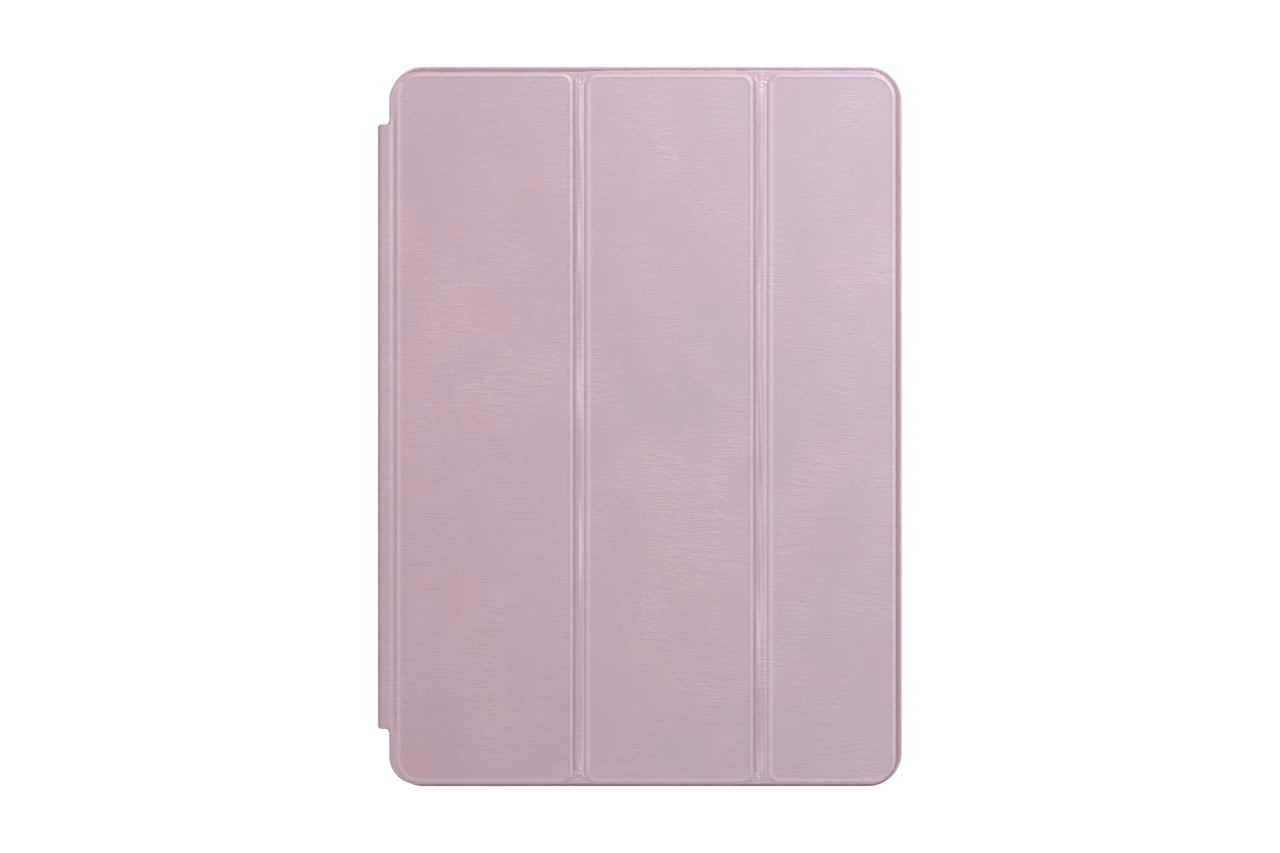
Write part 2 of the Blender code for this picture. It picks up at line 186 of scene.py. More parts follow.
def spaced(marks, fine=FINE, coarse=COARSE, growth=GROWTH):
    """Places from the first mark to the last, close together near each mark and including it."""
    found = [marks[0]]
    for start, end in zip(marks, marks[1:]):
        fine_steps = np.linspace(start, end, max(3, int((end - start) / (0.02 * MM))))
        nearest = np.min(np.abs(fine_steps[:, None] - np.array(marks)[None, :]), axis=1)
        density = 1 / np.clip(fine + growth * nearest, fine, coarse)
        total = np.concatenate([[0], np.cumsum((density[1:] + density[:-1]) / 2 * np.diff(fine_steps))])
        count = max(1, math.ceil(total[-1]))
        found += list(np.interp(np.linspace(0, total[-1], count + 1)[1:], total, fine_steps))
    return np.array(found)


def noise_at(x, y, size, seed):
    """Smooth noise from -1 to 1 at each point, with features of about this size."""
    flat = [
        noise.noise(Vector((a / size, b / size, seed)))
        for a, b in zip(np.ravel(x), np.ravel(y))
    ]
    return np.reshape(flat, np.shape(x))


def bump(distance, width):
    """1 at no distance, falling smoothly to 0 over about twice the width."""
    return np.exp(-((distance / width) ** 2))


def ease(value):
    """A smooth step from 0 to 1."""
    value = np.clip(value, 0, 1)
    return value * value * (3 - 2 * value)


def solid_sheet(name, front, back, grain, keep, tones):
    """A closed thin solid between two grids of points, with its grain coordinates stored."""
    rows, cols = front.shape[:2]
    offset = rows * cols

    def at(row, col, layer=0):
        return layer * offset + row * cols + col

    faces = []
    for row, col in zip(*np.nonzero(keep)):
        corners = ((row, col), (row, col + 1), (row + 1, col + 1), (row + 1, col))
        faces.append([at(*corner) for corner in corners])
        faces.append([at(*corner, 1) for corner in reversed(corners)])
        for step, (a, b) in zip(
            ((-1, 0), (0, 1), (1, 0), (0, -1)),
            zip(corners, corners[1:] + corners[:1]),
        ):
            near_row, near_col = row + step[0], col + step[1]
            inside = 0 <= near_row < rows - 1 and 0 <= near_col < cols - 1
            if not (inside and keep[near_row, near_col]):
                faces.append([at(*b), at(*a), at(*a, 1), at(*b, 1)])
    points = np.concatenate([front.reshape(-1, 3), back.reshape(-1, 3)])
    used = np.unique(np.concatenate([np.array(face) for face in faces]))
    order = np.full(len(points), -1)
    order[used] = np.arange(len(used))
    mesh = bpy.data.meshes.new(name)
    mesh.from_pydata(points[used].tolist(), [], [order[face].tolist() for face in faces])
    places = np.concatenate([grain.reshape(-1, 3)] * 2)[used]
    store_grain(mesh, places)
    for key, values in tones.items():
        held = mesh.attributes.new(key, "FLOAT", "POINT")
        both = np.concatenate([values.ravel(), np.zeros(values.size)])[used]
        held.data.foreach_set("value", both.astype(np.float32))
    return finish_mesh(name, mesh)


def store_grain(mesh, places):
    """Stores the coordinates that the materials' grain follows."""
    held = mesh.attributes.new("grain_at", "FLOAT_VECTOR", "POINT")
    held.data.foreach_set("vector", np.asarray(places, np.float32).ravel())


def finish_mesh(name, mesh, angle=40):
    """An object with outward faces, smooth apart from edges sharper than the angle."""
    shape = bmesh.new()
    shape.from_mesh(mesh)
    bmesh.ops.recalc_face_normals(shape, faces=shape.faces)
    shape.to_mesh(mesh)
    shape.free()
    mesh.shade_smooth()
    mesh.set_sharp_from_angle(angle=math.radians(angle))
    made = bpy.data.objects.new(name, mesh)
    bpy.context.scene.collection.objects.link(made)
    return made


def quarter(count):
    """Angles from 0 to 90 degrees, in radians."""
    return np.radians(np.linspace(0, 90, count))


def rounded_loop(low, high, radius, steps=20):
    """Points round a rectangle with rounded corners."""
    corners = (
        (low[0] + radius, low[1] + radius, 180),
        (high[0] - radius, low[1] + radius, 270),
        (high[0] - radius, high[1] - radius, 0),
        (low[0] + radius, high[1] - radius, 90),
    )
    loop = []
    for x, y, start in corners:
        for turn in quarter(steps + 1):
            angle = math.radians(start) + turn
            loop.append((x + radius * math.cos(angle), y + radius * math.sin(angle)))
    return loop


def loft(name, rings, angle=40):
    """A closed solid through loops of points, capped at both ends."""
    shape = bmesh.new()
    loops = [[shape.verts.new(point) for point in ring] for ring in rings]
    for lower, upper in zip(loops, loops[1:]):
        for index in range(len(lower)):
            after = (index + 1) % len(lower)
            shape.faces.new((lower[index], lower[after], upper[after], upper[index]))
    shape.faces.new(list(reversed(loops[0])))
    shape.faces.new(loops[-1])
    mesh = bpy.data.meshes.new(name)
    shape.to_mesh(mesh)
    shape.free()
    return finish_mesh(name, mesh, angle)


def carve(target, tools, angle=40):
    """Cuts the tools out of the target, applies the cuts and removes the tools."""
    for tool in tools:
        step = target.modifiers.new(tool.name, "BOOLEAN")
        step.operation = "DIFFERENCE"
        step.object = tool
        step.solver = "EXACT"
    graph = bpy.context.evaluated_depsgraph_get()
    cut = bpy.data.meshes.new_from_object(target.evaluated_get(graph), depsgraph=graph)
    target.modifiers.clear()
    target.data = cut
    cut.shade_smooth()
    cut.set_sharp_from_angle(angle=math.radians(angle))
    for tool in tools:
        bpy.data.objects.remove(tool)
    places = np.zeros(len(cut.vertices) * 3, np.float32)
    cut.vertices.foreach_get("co", places)
    store_grain(cut, places.reshape(-1, 3))
    return target


# ---------------------------------------------------------------- the cover's leather


def cover_columns():
    """X places across the flat of the cover, close together at every edge and fold."""
    marks = [SHELL_LEFT, SHELL_LEFT + SPINE_GROOVE_AT]
    for index, (low, high) in enumerate(RAISED):
        marks += [low[0], MIDDLES[index], high[0]]
        if index < len(STRIPS):
            near, far = STRIPS[index]
            marks += [near, STRIP_MIDDLES[index], far]
    marks.append(COVER_RIGHT)
    close = [mark for mark in marks if mark not in MIDDLES]
    whole = spaced(close)
    for middle in MIDDLES:
        whole[np.argmin(np.abs(whole - middle))] = middle
    return whole


def cover_rows():
    """Y places up the cover, close together at its ends and at the spine's ends."""
    raised_low, raised_high = RAISED[1][0][1], RAISED[1][1][1]
    low_end = [raised_low + step * MM for step in (1.2, 2.4, 3.6, 4.8)]
    high_end = [raised_high - step * MM for step in (4.8, 3.6, 2.4, 1.2)]
    marks = [COVER_LOW_Y, raised_low, *low_end, SPINE_LOW[1], SPINE_HIGH[1], *high_end]
    return spaced([*marks, raised_high, COVER_HIGH_Y])


def bend_corners(x, y, corners):
    """Bends a grid's corners into arcs. Each has its X and Y, the way inwards and its radius."""
    for corner_x, corner_y, side_x, side_y, radius in corners:
        centre_x, centre_y = corner_x + side_x * radius, corner_y + side_y * radius
        a, b = (centre_x - x) * side_x, (centre_y - y) * side_y
        within = (a > 0) & (b > 0)
        reach = np.maximum(np.hypot(a, b), 1e-9)
        share = np.where(within, np.maximum(a, b) / reach, 1.0)
        x, y = centre_x - side_x * a * share, centre_y - side_y * b * share
    return x, y


def round_corners(x, y, low_y, high_y, right, right_radius):
    """Rounds the four corners of the leather's or the lining's grid."""
    corners = (
        (SHELL_LEFT, low_y, 1, 1, COVER_SPINE_RADIUS),
        (SHELL_LEFT, high_y, 1, -1, COVER_SPINE_RADIUS),
        (right, low_y, -1, 1, right_radius),
        (right, high_y, -1, -1, right_radius),
    )
    return bend_corners(x, y, corners)


def spine_end_shift(x, y):
    """Moves rows near the spine's ends, to round its tip and fill its root."""
    out = SHELL_LEFT - x
    reach = SHELL_LEFT - SPINE_LEFT
    tip = np.clip(SPINE_TIP - (reach - out), 0, SPINE_TIP)
    root = np.clip(SPINE_ROOT - np.maximum(out, 0), 0, SPINE_ROOT)
    inward = SPINE_TIP - np.sqrt(SPINE_TIP**2 - tip**2)
    outward = SPINE_ROOT - np.sqrt(SPINE_ROOT**2 - (SPINE_ROOT - np.maximum(out, 0)).clip(0) ** 2)
    outward = np.where(root > 0, outward, 0)
    amount = outward - inward
    fade = np.exp(-np.maximum(-out, 0) / (1.5 * MM))
    for end, side in ((SPINE_LOW[1], -1), (SPINE_HIGH[1], 1)):
        near = np.exp(-np.abs(y - end) / (3 * MM))
        y = y + side * amount * fade * near
    return y


def spine_share(y):
    """1 beside the spine, falling to 0 towards the case's corners."""
    inside = np.minimum(y - SPINE_LOW[1], SPINE_HIGH[1] - y)
    return ease(inside / (4 * MM) + 1)


def facing(x, y, low, high):
    """Which way the nearest edge of a panel faces, across and up."""
    centre, half = (low + high) / 2, (high - low) / 2
    across_x = np.maximum(np.abs(x - centre[0]) - half[0] + PANEL_INNER_RADIUS, 0)
    up_y = np.maximum(np.abs(y - centre[1]) - half[1] + PANEL_INNER_RADIUS, 0)
    length = np.maximum(np.hypot(across_x, up_y), 1e-9)
    return np.sign(x - centre[0]) * across_x / length, np.sign(y - centre[1]) * up_y / length


def panel_edges(x, y):
    """For each panel: how far inside it a point is, where its edge faces, and how far that edge faces away from
    the key light.

    The edges towards the spine and the bottom face away from the key light. They get softer slopes and a stronger
    painted highlight, standing in for the light they miss."""
    for index, (low, high) in enumerate(RAISED):
        left = PANEL_OUTER_RADIUS if index == 0 else PANEL_INNER_RADIUS
        right = PANEL_OUTER_RADIUS if index == len(RAISED) - 1 else PANEL_INNER_RADIUS
        inside = rounded_distance(x, y, low, high, left, right)
        side, end = facing(x, y, low, high)
        yield inside, side, end, np.clip(-side - 0.9 * end, 0, 1)


def puckers(x, y, from_middle, half, ends):
    """Where the leather is gathered at a crease's ends, and the pebbles that it forms there."""
    gathered = bump(from_middle, half + 0.9 * MM) * bump(ends - 3.4 * MM, 2.4 * MM)
    pebbles = noise_at(x, y, PUCKER_SIZE, 3.0) + 0.5 * noise_at(x, y, PUCKER_SIZE / 2, 5.0)
    return gathered, pebbles


def cover_height(x, y):
    """The height of the leather's face over the hem."""
    lift = np.zeros_like(x)
    for inside, _, _, away_from_key in panel_edges(x, y):
        foot = (0.15 + 0.6 * away_from_key) * MM
        rise = ease((inside + foot) / (EDGE_WIDTH * (1 + away_from_key)))
        bead = EDGE_BEAD * bump(inside - 0.85 * MM, 0.5 * MM)
        lift = np.maximum(lift, rise * (RAISE + bead - EDGE_BEAD))
    ends = np.minimum(y - COVER_LOW_Y, COVER_HIGH_Y - y)
    along = ease((ends - 2.0 * MM) / (3.0 * MM))
    for near, far in STRIPS:
        middle, half = (near + far) / 2, (far - near) / 2
        for fold, depth in ((near, 1.0), (far, FAR_GROOVE_SHARE)):
            lift -= along * depth * FOLD_GROOVE * bump(x - fold, FOLD_GROOVE_WIDTH)
        lift += along * STRIP_CROWN * bump(x - middle, half * 0.8)
        fine_folds = noise_at(x, y * 0.03, 0.8 * MM, 7.0)
        lift += along * STRIP_RIDGE * fine_folds * bump(x - middle, half * 0.8)
        gathered, pebbles = puckers(x, y, x - middle, half, ends)
        lift += PUCKER * gathered * pebbles
    beside = spine_share(y)
    from_left = x - SHELL_LEFT
    lift += beside * SPINE_CROWN * bump(np.maximum(from_left, 0), 0.8 * MM)
    lift -= beside * SPINE_GROOVE * bump(from_left - SPINE_GROOVE_AT, 0.8 * MM)
    hem = np.clip(1 - lift / RAISE, 0, 1)
    lift += 0.05 * MM * hem * noise_at(x, y, 6 * MM, 9.0)
    lift += 0.03 * MM * noise_at(x, y, 22 * MM, 2.0)
    return lift


def cover_tones(x, y):
    """Painted highlight, partly pale edge wear, on the panels' edges (strongest where they face away from the key
    light) and on the crease ridges and puckers; painted shade at edge feet, in the creases' folds and in the
    spine's groove.
    """
    light = np.zeros_like(x)
    fold = np.zeros_like(x)
    rubbed = 0.85 + 0.3 * noise_at(x * 0.4, y * 0.4, 7 * MM, 6.0)
    for inside, side, end, away_from_key in panel_edges(x, y):
        # Painted highlight along each panel's edge, partly pale edge wear, stronger where the edge faces away from
        # the key light and the slope is shaded.
        line = bump(inside - (0.42 + 0.14 * away_from_key) * MM, 0.36 * MM)
        light = np.maximum(light, rubbed * (0.45 + 0.3 * away_from_key) * line)
        light = np.maximum(light, away_from_key * bump(inside - 0.2 * MM, 0.75 * MM))
        # Painted shade just outside the panels' edges that face right and up.
        edge_foot_shade = 0.7 * np.clip(side, 0, 1) + 0.4 * np.clip(end, 0, 1)
        fold = np.maximum(fold, np.clip(edge_foot_shade, 0, 1) * bump(inside + 0.35 * MM, 0.32 * MM))
    ends = np.minimum(y - COVER_LOW_Y, COVER_HIGH_Y - y)
    along = ease((ends - 2.0 * MM) / (3.0 * MM))
    for near, far in STRIPS:
        middle, half = (near + far) / 2, (far - near) / 2
        # Painted highlight on the crests of the crease's fine ridges, with painted shade in their troughs.
        ridges = noise_at(x, y * 0.03, 0.8 * MM, 7.0)
        within = bump(x - middle, half * 0.9)
        light = np.maximum(light, 0.8 * along * within * np.clip(ridges * 1.6, 0, 1))
        fold = np.maximum(fold, 0.7 * along * within * np.clip(-ridges * 1.6, 0, 1))
        # Painted shade along both fold lines of the crease.
        fold = np.maximum(fold, along * bump(x - near, 0.34 * MM))
        fold = np.maximum(fold, 0.4 * along * bump(x - far, 0.6 * MM))
        # Painted highlight on the tops of the pebbles where the leather is gathered.
        gathered, pebbles = puckers(x, y, x - middle, half, ends)
        light = np.maximum(light, gathered * np.clip(pebbles * 1.6, 0, 1))
    beside = spine_share(y)
    # Painted shade in the spine's groove.
    fold = np.maximum(fold, 0.4 * beside * bump(x - SHELL_LEFT - SPINE_GROOVE_AT, 0.8 * MM))
    return {"rubbed": np.clip(light, 0, 1), "folded": np.clip(fold, 0, 1)}


def outer_distance(x, y):
    """How far inside the cover's own outline each point is. The spine side is open."""
    low = np.array([SHELL_LEFT, COVER_LOW_Y])
    high = np.array([COVER_RIGHT, COVER_HIGH_Y])
    whole = rounded_distance(x, y, low, high, COVER_SPINE_RADIUS, COVER_FREE_RADIUS)
    others = np.minimum(COVER_RIGHT - x, np.minimum(y - COVER_LOW_Y, COVER_HIGH_Y - y))
    beside = (y > SPINE_LOW[1]) & (y < SPINE_HIGH[1])
    return np.where(beside, others, whole)


def rim_drop(distance, radius):
    """How far a rounded rim has dropped at each distance from its edge."""
    left = np.clip(radius - distance, 0, radius)
    return radius - np.sqrt(np.maximum(radius**2 - left**2, 0))


def spine_path():
    """The leather's outer face from under the back, round the spine and up to the cover.

    Each point is (x, z, normal x, normal z)."""
    flap_z = HEM_TOP + SPINE_CROWN
    points = []

    def line(start, end, normal, fine=0.35 * MM):
        length = math.dist(start, end)
        count = max(2, round(length / fine))
        for share in np.linspace(0, 1, count + 1):
            x = start[0] + share * (end[0] - start[0])
            z = start[1] + share * (end[1] - start[1])
            points.append((x, z, *normal))

    def turn(centre, radius, start, end, count=8):
        for angle in np.radians(np.linspace(start, end, count + 1)):
            normal = (math.cos(angle), math.sin(angle))
            points.append((centre[0] + radius * normal[0], centre[1] + radius * normal[1], *normal))

    low_round = 0.9 * MM
    inner_x = SHELL_LEFT + BACK_ROUND + 0.4 * MM
    line((inner_x, 0.0), (SPINE_LEFT + low_round, 0.0), (0, -1))
    turn((SPINE_LEFT + low_round, low_round), low_round, 270, 180)
    top_centre = (SPINE_LEFT + SPINE_ROUND, flap_z - SPINE_ROUND)
    line((SPINE_LEFT, low_round), (SPINE_LEFT, top_centre[1]), (-1, 0), 0.7 * MM)
    turn(top_centre, SPINE_ROUND, 180, 90)
    line((top_centre[0], flap_z), (SHELL_LEFT, flap_z), (0, 1))
    kept = [points[0]]
    for point in points[1:]:
        if math.dist(point[:2], kept[-1][:2]) > 0.02 * MM:
            kept.append(point)
    return np.array(kept)


def cover_grid():
    """Front and back grids of the whole leather, from under the shell to the free edge."""
    path = spine_path()[:-1]
    across = cover_columns()
    rows = cover_rows()
    flat_x = np.concatenate([path[:, 0], across])
    steps = np.hypot(np.diff(path[:, 0]), np.diff(path[:, 1]))
    run = np.concatenate([[0], np.cumsum(steps)])
    run -= run[-1] + (across[0] - path[-1, 0])
    along = np.concatenate([run, across - across[0]])
    x, y = np.meshgrid(flat_x, rows)
    on_path = np.broadcast_to(np.arange(len(flat_x)) < len(path), x.shape)
    y = spine_end_shift(np.where(on_path, np.maximum(x, SPINE_LEFT), x), y)
    wave = noise_at(x, y * 0, HEM_WAVE_LENGTH, 1.0) + 0.6 * noise_at(x, y * 0, HEM_WAVE_LENGTH / 3, 4.0)
    ends = (COVER_LOW_Y, COVER_HIGH_Y)
    rounded_x, rounded_y = round_corners(x, y, *ends, COVER_RIGHT, COVER_FREE_RADIUS)
    flat_xx = np.where(on_path, x, rounded_x)
    flat_yy = np.where(on_path, y, rounded_y)
    top_edge = np.exp(-np.maximum(COVER_HIGH_Y - flat_yy, 0) / HEM_EDGE_FADE)
    low_edge = np.exp(-np.maximum(flat_yy - COVER_LOW_Y, 0) / HEM_EDGE_FADE)
    height = cover_height(flat_xx, flat_yy)
    drop = rim_drop(outer_distance(flat_xx, flat_yy), HEM_ROUND)
    closer = HEM_TOP_OUT * ease((flat_xx - STRIP_MIDDLES[0]) / HEM_TOP_OUT_OVER)
    flat_yy = flat_yy + (closer - HEM_WAVE * wave) * top_edge + 0.4 * HEM_WAVE * wave * low_edge
    normal_x = np.concatenate([path[:, 2], np.zeros(len(across))])
    normal_z = np.concatenate([path[:, 3], np.ones(len(across))])
    base_z = np.concatenate([path[:, 1], np.full(len(across), HEM_TOP)])
    end_low = y[np.argmin(np.abs(rows - SPINE_LOW[1]))]
    end_high = y[np.argmin(np.abs(rows - SPINE_HIGH[1]))]
    spine_drop = rim_drop(np.minimum(y - end_low, end_high - y), 0.3 * MM)
    ripple = 0.03 * MM * noise_at(along[None, :] + 0 * y, y, 8 * MM, 11.0)
    thickness = np.where(on_path, SHEET, HEM_TOP - HEM_UNDER)
    lift = np.where(on_path, ripple - spine_drop, height - drop)
    front = np.stack(
        [
            np.where(on_path, x + normal_x * lift, flat_xx),
            flat_yy,
            base_z + normal_z * lift,
        ],
        axis=-1,
    )
    back = np.stack(
        [
            np.where(on_path, x - normal_x * thickness, flat_xx),
            flat_yy,
            np.where(on_path, base_z - normal_z * thickness, HEM_UNDER + 0 * x),
        ],
        axis=-1,
    )
    laid_x = np.where(on_path, along + SHELL_LEFT, flat_xx)
    grain = np.stack([laid_x, flat_yy, 0 * y], axis=-1)
    tones = cover_tones(flat_xx, flat_yy)
    tones = {key: np.where(on_path, 0, values) for key, values in tones.items()}
    inside_spine = (rows[:-1] >= SPINE_LOW[1] - 1e-9) & (rows[1:] <= SPINE_HIGH[1] + 1e-9)
    keep = np.ones((len(rows) - 1, len(flat_x) - 1), bool)
    keep[:, : len(path)] = inside_spine[:, None]
    return (front, back, grain), keep, tones, flat_x, path


def cut_columns(flat_x, path_count, spine_middle):
    """Columns where a sheet is split: on the spine, and in the middle of each panel and crease."""
    cuts = [0, spine_middle]
    for middle in (MIDDLES[0], STRIP_MIDDLES[0], MIDDLES[1], STRIP_MIDDLES[1]):
        cuts.append(path_count + int(np.argmin(np.abs(flat_x[path_count:] - middle))))
    return [*cuts, len(flat_x) - 1]


def lay_sheet(prefix, kind, material, grids, keep, tones, cuts):
    """Splits a sheet of the cover into pieces at the given columns, and hides the frame's pieces that they
    replace.
    """
    front, back, grain = grids
    nodes = [f"{part}_{kind}" for part in ("crease_1", "panel_2", "crease_2", "panel_3")]
    replaced = [[], [f"spine_{kind}", f"panel_1_{kind}"], *([node] for node in nodes)]
    for number, (start, end) in enumerate(zip(cuts, cuts[1:])):
        columns = slice(start, end + 1)
        piece = solid_sheet(
            f"{prefix}_part_{number + 1}",
            front[:, columns],
            back[:, columns],
            grain[:, columns],
            keep[:, start:end],
            {key: values[:, columns] for key, values in tones.items()},
        )
        dress(piece, material)
        if replaced[number]:
            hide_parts(*replaced[number])
        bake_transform(piece)


def build_cover_leather(material):
    """The cover's leather, cut half way up the spine and in the middle of the panels and creases."""
    grids, keep, tones, flat_x, path = cover_grid()
    face = [index for index in range(len(path)) if path[index, 2] == -1]
    middle_z = (SPINE_LOW[2] + SPINE_HIGH[2]) / 2
    spine_middle = min(face, key=lambda index: abs(path[index, 1] - middle_z))
    cuts = cut_columns(flat_x, len(path), spine_middle)
    lay_sheet("leather", "leather", material, grids, keep, tones, cuts)


def build_spine_ends(material):
    """The leather that is turned in over both ends of the spine's board."""
    low, high = box("spine_board")
    outer, inner = low[0] - 0.2 * MM, high[0] + 0.15 * MM
    profile = (
        (outer, 2.4 * MM),
        (inner - 0.5 * MM, 2.4 * MM),
        (inner, 3.1 * MM),
        (inner, 7.5 * MM),
        (inner - 0.5 * MM, 8.6 * MM),
        (outer, 8.6 * MM),
    )
    lower_end = (SPINE_LOW[1] + 0.4 * MM, low[1] - 0.1 * MM)
    upper_end = (high[1] + 0.1 * MM, SPINE_HIGH[1] - 0.4 * MM)
    for number, sides in enumerate((lower_end, upper_end)):
        rings = [[(x, y, z) for x, z in profile] for y in sides]
        piece = loft(f"spine_end_{number + 1}", rings)
        store_grain(piece.data, [vertex.co for vertex in piece.data.vertices])
        dress(piece, material)
        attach(piece, "spine")


# ---------------------------------------------------------------- the shell


def shell_loop(inset, z):
    """A loop this far inside the shell's outline."""
    low = (SHELL_LEFT + inset, SHELL_LOW_Y + inset)
    high = (SHELL_RIGHT - inset, SHELL_HIGH_Y - inset)
    radius = max(SHELL_RADIUS - inset, 0.3 * MM)
    return [(x, y, z) for x, y in rounded_loop(low, high, radius)]


def camera_cutter(name, middle):
    """A round hole through the back, with its rim let in."""
    loops = []
    for z, grow in ((-1 * MM, 0.35 * MM), (0.05 * MM, 0.35 * MM), (0.5 * MM, 0), (4 * MM, 0)):
        reach = CAMERA_RADIUS + grow
        low = (middle[0] - reach, middle[1] - reach)
        high = (middle[0] + reach, middle[1] + reach)
        loops.append([(x, y, z) for x, y in rounded_loop(low, high, reach)])
    return loft(name + "_tool", loops)


def slot_cutter(name, low, high, middle):
    """A rounded slot through one wall, with its rim let in."""
    through = 0 if name == "volume_slot" else 1
    along = 1 - through
    half = (high[along] - low[along]) / 2 + SLOT_MARGIN
    outer, inner = low[through], high[through]
    if middle[through] > 0:
        outer, inner = inner, outer
    rim = outer - math.copysign(1.0 * MM, outer)
    throat = rim - math.copysign(0.4 * MM, rim)
    loops = []
    for place, grow in ((outer, 0.3 * MM), (rim, 0.3 * MM), (throat, 0.0), (inner, 0.0)):
        edge = rounded_loop(
            (middle[along] - half - grow, middle[2] - SLOT_HALF_HEIGHT - grow),
            (middle[along] + half + grow, middle[2] + SLOT_HALF_HEIGHT + grow),
            SLOT_RADIUS + grow,
            8,
        )
        loops.append([(a, place, z) if through else (place, a, z) for a, z in edge])
    return loft(name + "_tool", loops)


def shell_cutters(kind=""):
    """Shapes that cut the openings whose names start with this kind, read from the record."""
    tools = []
    for opening in frame["record"]["physics"]["openings"]:
        name = opening["name"]
        if name.startswith("tablet") or not name.startswith(kind):
            continue
        low, high = opening["box_m"]
        middle = [(a + b) / 2 for a, b in zip(low, high)]
        if name.startswith("camera"):
            tools.append(camera_cutter(name, middle))
        else:
            tools.append(slot_cutter(name, low, high, middle))
    return tools


def build_shell_leather(material):
    """The skin moulded over the tray, with a soft rim at the front."""
    rings = []
    for angle in quarter(9):
        inset = BACK_ROUND * (1 - math.sin(angle))
        rings.append(shell_loop(inset, BACK_ROUND * (1 - math.cos(angle))))
    top = SHELL_TOP - 0.02 * MM
    rim = 0.35 * MM
    for angle in quarter(6):
        rings.append(shell_loop(rim * (1 - math.cos(angle)), top - rim * (1 - math.sin(angle))))
    inner = WRAP - 0.02 * MM
    small = 0.06 * MM
    for angle in quarter(4):
        inset = inner - small + small * math.sin(angle)
        rings.append(shell_loop(inset, top - small + small * math.cos(angle)))
    reach = BACK_ROUND - inner
    for angle in quarter(5):
        inset = BACK_ROUND - reach * math.cos(angle)
        rings.append(shell_loop(inset, BACK_ROUND - reach * math.sin(angle)))
    skin = loft("shell_skin", rings, 50)
    skin = carve(skin, shell_cutters(), 50)
    dress(skin, material)
    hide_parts("shell_leather_back", "shell_leather_band")
    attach(skin, "shell")


def build_tray(material):
    """The moulded tray, with a soft fillet round its floor and a rounded lip."""
    wall = WRAP + TRAY_WALL
    lip_low = box("tray_wall_spine")[1][2] - LIP
    fillet = 0.5 * MM
    soft = 0.25 * MM
    rings = []
    reach = BACK_ROUND - WRAP
    for angle in quarter(6):
        inset = BACK_ROUND - reach * math.sin(angle)
        rings.append(shell_loop(inset, BACK_ROUND - reach * math.cos(angle)))
    rings.append(shell_loop(WRAP, SHELL_TOP - 0.1 * MM))
    rings.append(shell_loop(WRAP + 0.1 * MM, SHELL_TOP))
    inner = wall + LIP_OVERHANG
    for angle in np.radians(np.linspace(0, 180, 7)):
        tip = inner - LIP / 2 + LIP / 2 * math.sin(angle)
        rings.append(shell_loop(tip, SHELL_TOP - LIP / 2 + LIP / 2 * math.cos(angle)))
    rings.append(shell_loop(wall + soft, lip_low))
    rings.append(shell_loop(wall, lip_low - soft))
    for angle in quarter(5):
        inset = wall + fillet - fillet * math.cos(angle)
        rings.append(shell_loop(inset, FLOOR_TOP + fillet - fillet * math.sin(angle)))
    tray = loft("tray", rings)
    tray = carve(tray, shell_cutters())
    dress(tray, material)
    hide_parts(*TRAY_NODES)
    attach(tray, "shell")


def build_tray_lining(material):
    """The lining on the tray's floor, with a hole for the camera."""
    low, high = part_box("tray_lining")
    radius = SHELL_RADIUS - (low[0] - SHELL_LEFT)
    levels = (
        (0.05 * MM, low[2]),
        (0.0, low[2] + 0.1 * MM),
        (0.0, high[2] - 0.12 * MM),
        (0.12 * MM, high[2]),
    )
    loops = []
    for inset, z in levels:
        corner_low = (low[0] + inset, low[1] + inset)
        corner_high = (high[0] - inset, high[1] - inset)
        loops.append([(x, y, z) for x, y in rounded_loop(corner_low, corner_high, radius)])
    sheet = loft("tray_microfibre", loops)
    sheet = carve(sheet, shell_cutters("camera"))
    dress(sheet, material)
    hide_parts("tray_lining")
    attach(sheet, "shell")


# ---------------------------------------------------------------- the cover's lining


def lining_path():
    """The lining's middle line from the shell's edge, round inside the spine, to the cover."""
    middle_z = (LINING_LOW[2] + LINING_HIGH[2]) / 2
    low, high = box("spine_lining")
    spine_x = (low[0] + high[0]) / 2
    left = SPINE_LEFT
    route = [
        (spine_x + 0.1 * MM, 0.85 * MM),
        (left + 2.2 * MM, 0.9 * MM),
        (left + 1.15 * MM, 1.15 * MM),
        (left + 1.7 * MM, 1.6 * MM),
        (spine_x - 0.5 * MM, 2.0 * MM),
        (spine_x, 3.0 * MM),
        (spine_x, 5.0 * MM),
        (spine_x, 7.6 * MM),
        (spine_x - 0.5 * MM, 8.8 * MM),
        (left + 2.0 * MM, 9.5 * MM),
        (left + 1.25 * MM, 10.0 * MM),
        (left + 1.9 * MM, middle_z),
        (SHELL_LEFT, middle_z),
    ]
    curve = []
    for index in range(len(route) - 1):
        before = Vector(route[max(index - 1, 0)])
        start, end = Vector(route[index]), Vector(route[index + 1])
        after = Vector(route[min(index + 2, len(route) - 1)])
        for share in np.linspace(0, 1, 7)[: 7 if index == len(route) - 2 else 6]:
            t, u = share, 1 - share
            tangent_a, tangent_b = (end - before) / 2, (after - start) / 2
            curve.append(
                start * (1 + 2 * t) * u * u
                + end * t * t * (3 - 2 * t)
                + tangent_a * t * u * u
                - tangent_b * t * t * u
            )
    line = np.array([tuple(point) for point in curve])
    heading = np.gradient(line, axis=0)
    heading /= np.linalg.norm(heading, axis=1)[:, None]
    return line, np.stack([-heading[:, 1], heading[:, 0]], axis=1)


